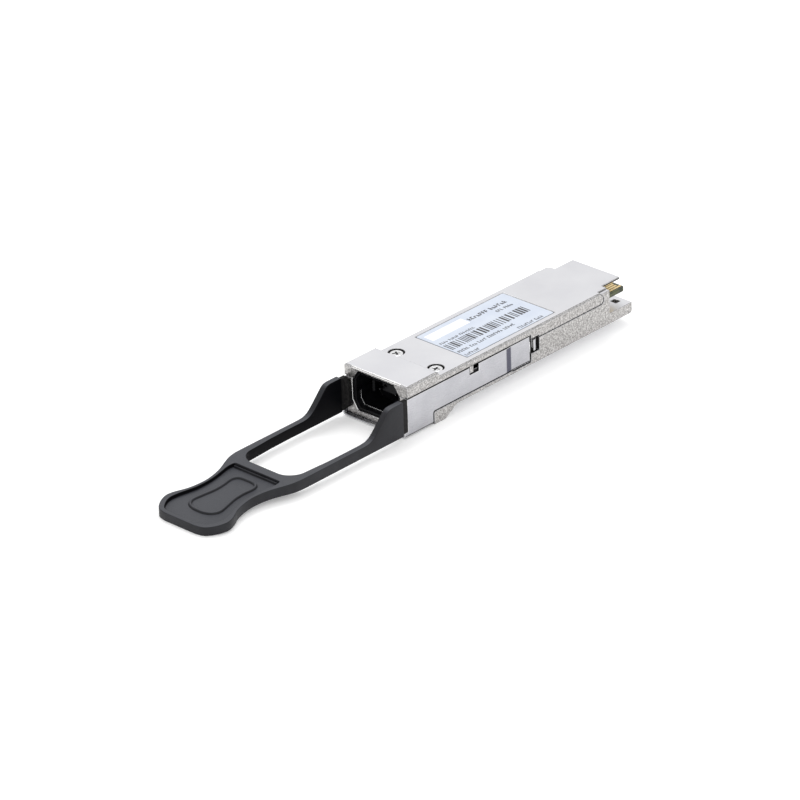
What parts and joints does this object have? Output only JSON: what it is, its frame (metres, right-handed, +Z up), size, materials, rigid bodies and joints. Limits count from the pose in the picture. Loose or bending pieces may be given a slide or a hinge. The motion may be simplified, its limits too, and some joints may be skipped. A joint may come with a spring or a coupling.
{
  "type": "optical transceiver module",
  "caption": "Slim metal pluggable optical transceiver with a multi-fibre port in its nose, a sliding release latch with a black pull tab, and a card-edge connector at the rear.",
  "frame": {"origin": "centre of the bounding box's bottom: under the middle of the module's whole length, level with the foot under the nose", "axes": "+Z up through the cover, +Y along the module towards the card edge, -Y towards the pull tab, +X across the width"},
  "size_m": [0.0196, 0.1316, 0.012],
  "materials": {
    "nickel_plated_zinc": "fine satin nickel plate over zinc die casting, slightly grainy on the sides",
    "polished_stainless": "smooth rolled stainless sheet",
    "steel_screw": "bright plated steel",
    "tab_plastic": "fine matt moulded texture",
    "liner_plastic": "smooth moulded",
    "spring_wire": "drawn wire",
    "board_laminate": "solder mask over glass laminate",
    "contact_gold": "hard gold plate",
    "chip_resin": "matt moulded resin",
    "chip_ceramic": "fired ceramic",
    "ferrite": "pressed ferrite",
    "optical_resin": "clear amber moulded optics",
    "ferrule_resin": "filled moulding resin",
    "ribbon_acrylate": "coated fibre ribbon",
    "gap_filler": "soft filled silicone",
    "conductive_elastomer": "filled elastomer",
    "label_film": "pale satin film"
  },
  "bodies": {
    "housing": {"bottom_housing": "nickel_plated_zinc", "top_housing": "nickel_plated_zinc", "cover_screw_left": "steel_screw", "cover_screw_right": "steel_screw", "latch_spring_left": "spring_wire", "latch_spring_right": "spring_wire", "mpo_receptacle": "liner_plastic", "mt_ferrule": "ferrule_resin", "guide_pin_left": "steel_screw", "guide_pin_right": "steel_screw", "ferrule_retainer": "polished_stainless", "fibre_ribbon": "ribbon_acrylate", "lens_block": "optical_resin", "vcsel_array": "chip_ceramic", "photodiode_array": "chip_ceramic", "laser_driver_chip": "chip_resin", "receiver_chip": "chip_resin", "microcontroller": "chip_resin", "voltage_regulator": "chip_resin", "power_inductor": "ferrite", "coupling_capacitor_1": "chip_ceramic", "coupling_capacitor_2": "chip_ceramic", "coupling_capacitor_3": "chip_ceramic", "coupling_capacitor_4": "chip_ceramic", "circuit_board": "board_laminate", "contact_row_top": "contact_gold", "contact_row_bottom": "contact_gold", "thermal_pad": "gap_filler", "board_cushion": "conductive_elastomer", "emi_gasket_left": "conductive_elastomer", "emi_gasket_right": "conductive_elastomer", "label": "label_film"},
    "latch": {"release_latch": "polished_stainless", "pull_tab": "tab_plastic"}
  },
  "joints": [
    {"name": "latch_slide", "type": "slide", "parent": "housing", "child": "latch", "axis": [0, -1, 0], "range_m": [0, 0.0009], "stiffness_N_per_m": 900, "springref_m": -0.0015, "deforming": ["latch_spring_left", "latch_spring_right"]}
  ]
}
